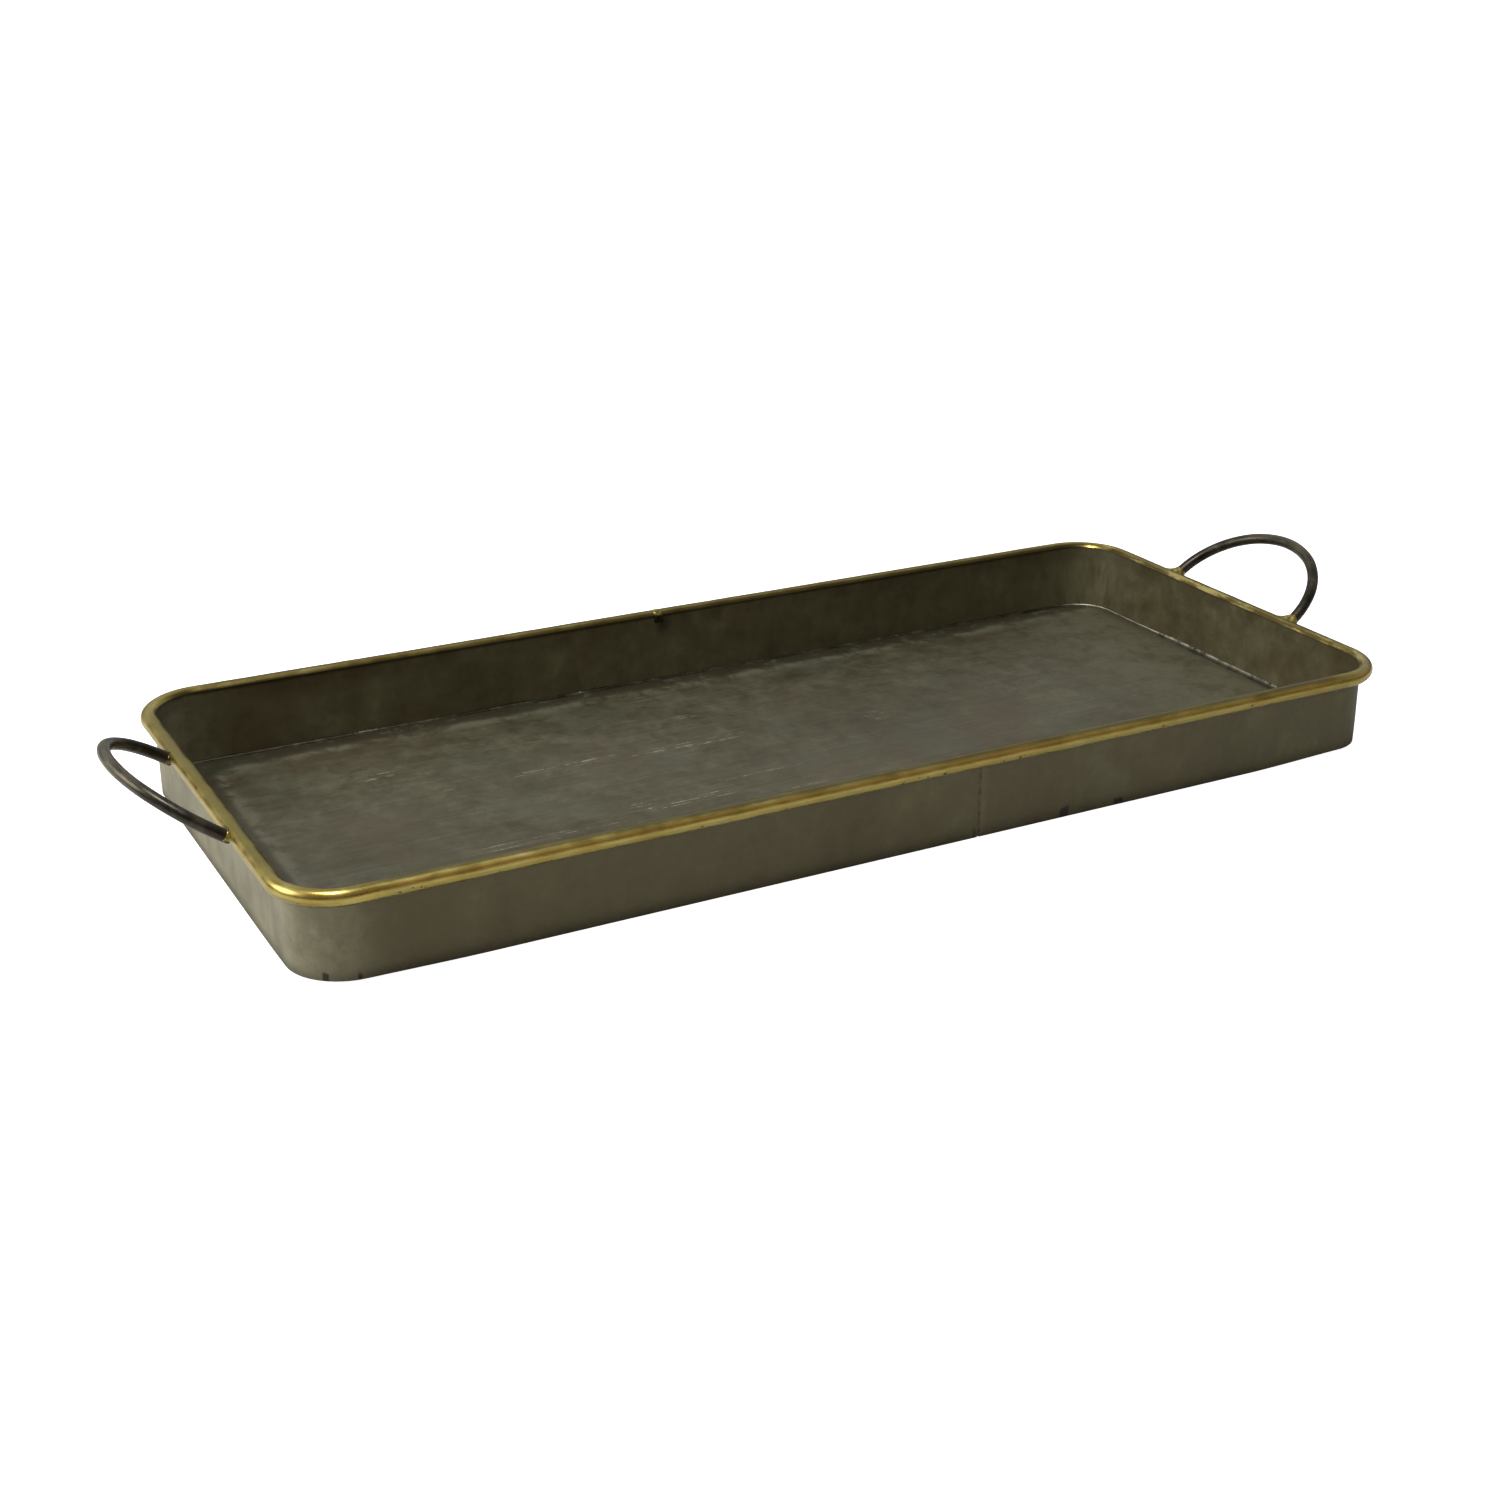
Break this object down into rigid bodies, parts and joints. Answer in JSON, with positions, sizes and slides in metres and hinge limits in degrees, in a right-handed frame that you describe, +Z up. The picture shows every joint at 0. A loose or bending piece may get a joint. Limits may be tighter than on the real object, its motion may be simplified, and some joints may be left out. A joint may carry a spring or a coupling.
{
  "type": "serving tray",
  "caption": "Long rectangular metal serving tray with upright walls, rounded corners, a brass bead rim and looped iron end handles.",
  "frame": {"origin": "on the ground under the middle of the tray, at the middle of its overall box", "axes": "+X along the length towards the right-hand handle, -Y towards the front with the lap seam, +Z up"},
  "size_m": [0.6914, 0.268, 0.076],
  "materials": {
    "aged_zinc": "zinc-coated sheet with a dark olive grey patina, rubbed along the length of the floor",
    "aged_brass": "aged brass, dull, with rubbed high spots and dark lines in the hollows",
    "braze": "bright flowed brass braze",
    "dark_iron": "blackened round iron rod with a soft sheen",
    "steel_wire": "plain drawn wire, hidden inside the rim",
    "solder": "grey tin solder, rubbed bright in places"
  },
  "bodies": {
    "root": {"floor_pan": "aged_zinc", "wall_band": "aged_zinc", "floor_solder": "solder", "seam_solder": "solder", "rim_bead": "aged_brass", "rim_joint_braze": "braze", "rim_wire": "steel_wire", "handle_left": "dark_iron", "handle_right": "dark_iron", "braze_left_front": "braze", "braze_left_back": "braze", "braze_right_front": "braze", "braze_right_back": "braze"}
  },
  "joints": []
}
